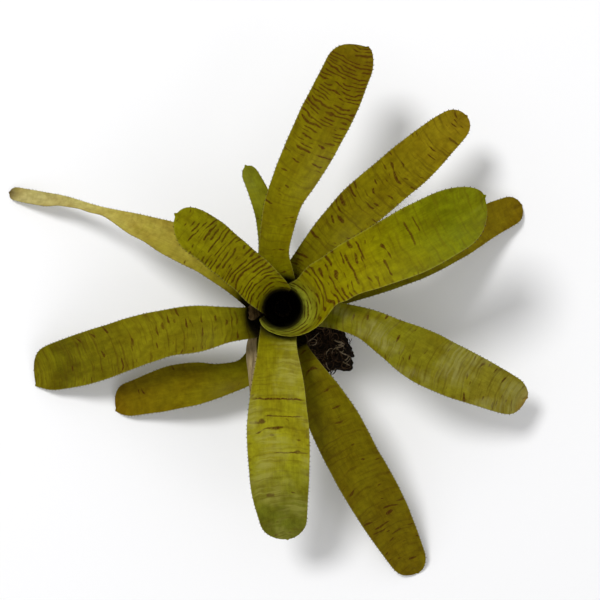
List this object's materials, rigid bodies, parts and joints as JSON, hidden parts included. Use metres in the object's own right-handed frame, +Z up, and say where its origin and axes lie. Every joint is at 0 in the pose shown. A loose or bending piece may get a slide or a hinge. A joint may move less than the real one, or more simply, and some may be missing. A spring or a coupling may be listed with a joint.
{
  "type": "neoregelia bromeliad",
  "caption": "Bare-rooted neoregelia bromeliad: strap leaves with toothed margins spread from a central tube above a short stem and a matted root mass.",
  "frame": {"origin": "on the surface, below the middle of the leaf tube, at the flat underside of the root mass", "axes": "+Z up along the leaf tube; +X to the right and +Y to the top of the view from above"},
  "size_m": [0.432, 0.4281, 0.2013],
  "materials": {
    "leaf_green": "satin leaf skin, yellow-green with brown cross bands",
    "leaf_olive": "satin leaf skin, olive with brown cross bands",
    "leaf_orange": "satin leaf skin, olive turning orange-brown",
    "leaf_straw": "dry straw-coloured leaf",
    "dry_brown": "matt, fibrous",
    "root_brown": "matt, matted roots"
  },
  "bodies": {
    "root": {"leaf_upper_left_inner": "leaf_green", "leaf_right_inner": "leaf_green", "leaf_bottom": "leaf_green", "leaf_top": "leaf_green", "leaf_lower_right": "leaf_olive", "leaf_upper_right": "leaf_olive", "leaf_dry": "leaf_straw", "leaf_left": "leaf_olive", "leaf_right_lower": "leaf_orange", "leaf_bottom_right": "leaf_olive", "leaf_small": "leaf_green", "leaf_lower_left": "leaf_orange", "dry_leaf_strap": "leaf_straw", "dry_sheath_shred": "dry_brown", "stem": "dry_brown", "root_mass": "root_brown"}
  },
  "joints": []
}
